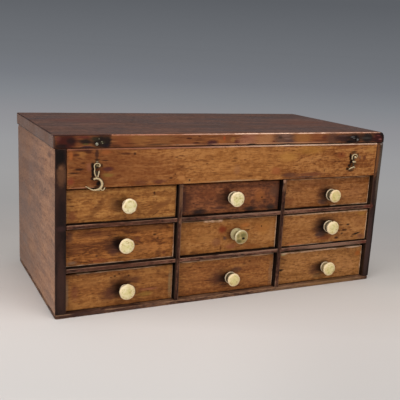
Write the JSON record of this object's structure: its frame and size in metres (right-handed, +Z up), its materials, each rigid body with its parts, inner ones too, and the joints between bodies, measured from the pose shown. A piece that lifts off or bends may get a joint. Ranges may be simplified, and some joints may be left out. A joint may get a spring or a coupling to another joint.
{
  "type": "box of drawers",
  "caption": "Low wooden box with a hinged lid over a shallow till, swinging hooks and three rows of small drawers with turned knobs.",
  "frame": {"origin": "middle of the underside of the bottom board, on the surface that the box stands on", "axes": "+X to the right seen from the front, +Y from the front to the back, +Z up"},
  "size_m": [0.3424, 0.1721, 0.16],
  "materials": {
    "warm_wood": "old rubbed wax",
    "red_wood": "old rubbed wax",
    "dark_wood": "dull worn polish",
    "side_wood": "dull worn polish",
    "edge_wood": "worn edges",
    "pale_wood": "unfinished",
    "bone": "turned and polished bone",
    "old_brass": "tarnished",
    "steel": "dull"
  },
  "bodies": {
    "case": {"bottom_board": "edge_wood", "left_side": "side_wood", "right_side": "side_wood", "back_board": "side_wood", "partition_left": "edge_wood", "partition_right": "edge_wood", "upper_shelf": "edge_wood", "lower_shelf": "edge_wood", "front_rail": "warm_wood", "till_floor": "side_wood", "hinge_left_case_leaf": "old_brass", "hinge_right_case_leaf": "old_brass", "hinge_left_pin": "steel", "hinge_right_pin": "steel", "left_hook_pin": "old_brass", "right_hook_pin": "old_brass"},
    "lid": {"lid": "dark_wood", "hinge_left_lid_leaf": "old_brass", "hinge_right_lid_leaf": "old_brass", "left_stud": "old_brass", "right_stud": "old_brass"},
    "left_hook": {"left_hook": "old_brass"},
    "right_hook": {"right_hook": "old_brass"},
    "drawer_top_left": {"drawer_top_left_front": "warm_wood", "drawer_top_left_walls": "pale_wood", "drawer_top_left_bottom": "pale_wood", "drawer_top_left_knob": "bone"},
    "drawer_top_middle": {"drawer_top_middle_front": "red_wood", "drawer_top_middle_walls": "pale_wood", "drawer_top_middle_bottom": "pale_wood", "drawer_top_middle_knob": "bone"},
    "drawer_top_right": {"drawer_top_right_front": "warm_wood", "drawer_top_right_walls": "pale_wood", "drawer_top_right_bottom": "pale_wood", "drawer_top_right_knob": "bone"},
    "drawer_middle_left": {"drawer_middle_left_front": "warm_wood", "drawer_middle_left_walls": "pale_wood", "drawer_middle_left_bottom": "pale_wood", "drawer_middle_left_knob": "bone"},
    "drawer_middle_middle": {"drawer_middle_middle_front": "warm_wood", "drawer_middle_middle_walls": "pale_wood", "drawer_middle_middle_bottom": "pale_wood", "drawer_middle_middle_knob": "old_brass"},
    "drawer_middle_right": {"drawer_middle_right_front": "warm_wood", "drawer_middle_right_walls": "pale_wood", "drawer_middle_right_bottom": "pale_wood", "drawer_middle_right_knob": "bone"},
    "drawer_bottom_left": {"drawer_bottom_left_front": "warm_wood", "drawer_bottom_left_walls": "pale_wood", "drawer_bottom_left_bottom": "pale_wood", "drawer_bottom_left_knob": "bone"},
    "drawer_bottom_middle": {"drawer_bottom_middle_front": "warm_wood", "drawer_bottom_middle_walls": "pale_wood", "drawer_bottom_middle_bottom": "pale_wood", "drawer_bottom_middle_knob": "bone"},
    "drawer_bottom_right": {"drawer_bottom_right_front": "warm_wood", "drawer_bottom_right_walls": "pale_wood", "drawer_bottom_right_bottom": "pale_wood", "drawer_bottom_right_knob": "bone"}
  },
  "joints": [
    {"name": "lid_hinge", "type": "hinge", "parent": "case", "child": "lid", "pos_m": [0, 0.0795, 0.14865], "axis": [-1, 0, 0], "range_deg": [0, 100]},
    {"name": "left_hook_swing", "type": "hinge", "parent": "case", "child": "left_hook", "pos_m": [-0.1351, -0.0837, 0.1345], "axis": [0, 1, 0], "range_deg": [-158, 180]},
    {"name": "right_hook_swing", "type": "hinge", "parent": "case", "child": "right_hook", "pos_m": [0.1333, -0.0837, 0.135], "axis": [0, 1, 0], "continuous": true},
    {"name": "drawer_top_left_slide", "type": "slide", "parent": "case", "child": "drawer_top_left", "axis": [0, -1, 0], "range_m": [0, 0.12]},
    {"name": "drawer_top_middle_slide", "type": "slide", "parent": "case", "child": "drawer_top_middle", "axis": [0, -1, 0], "range_m": [0, 0.12]},
    {"name": "drawer_top_right_slide", "type": "slide", "parent": "case", "child": "drawer_top_right", "axis": [0, -1, 0], "range_m": [0, 0.12]},
    {"name": "drawer_middle_left_slide", "type": "slide", "parent": "case", "child": "drawer_middle_left", "axis": [0, -1, 0], "range_m": [0, 0.12]},
    {"name": "drawer_middle_middle_slide", "type": "slide", "parent": "case", "child": "drawer_middle_middle", "axis": [0, -1, 0], "range_m": [0, 0.12]},
    {"name": "drawer_middle_right_slide", "type": "slide", "parent": "case", "child": "drawer_middle_right", "axis": [0, -1, 0], "range_m": [0, 0.12]},
    {"name": "drawer_bottom_left_slide", "type": "slide", "parent": "case", "child": "drawer_bottom_left", "axis": [0, -1, 0], "range_m": [0, 0.12]},
    {"name": "drawer_bottom_middle_slide", "type": "slide", "parent": "case", "child": "drawer_bottom_middle", "axis": [0, -1, 0], "range_m": [0, 0.12]},
    {"name": "drawer_bottom_right_slide", "type": "slide", "parent": "case", "child": "drawer_bottom_right", "axis": [0, -1, 0], "range_m": [0, 0.12]}
  ]
}
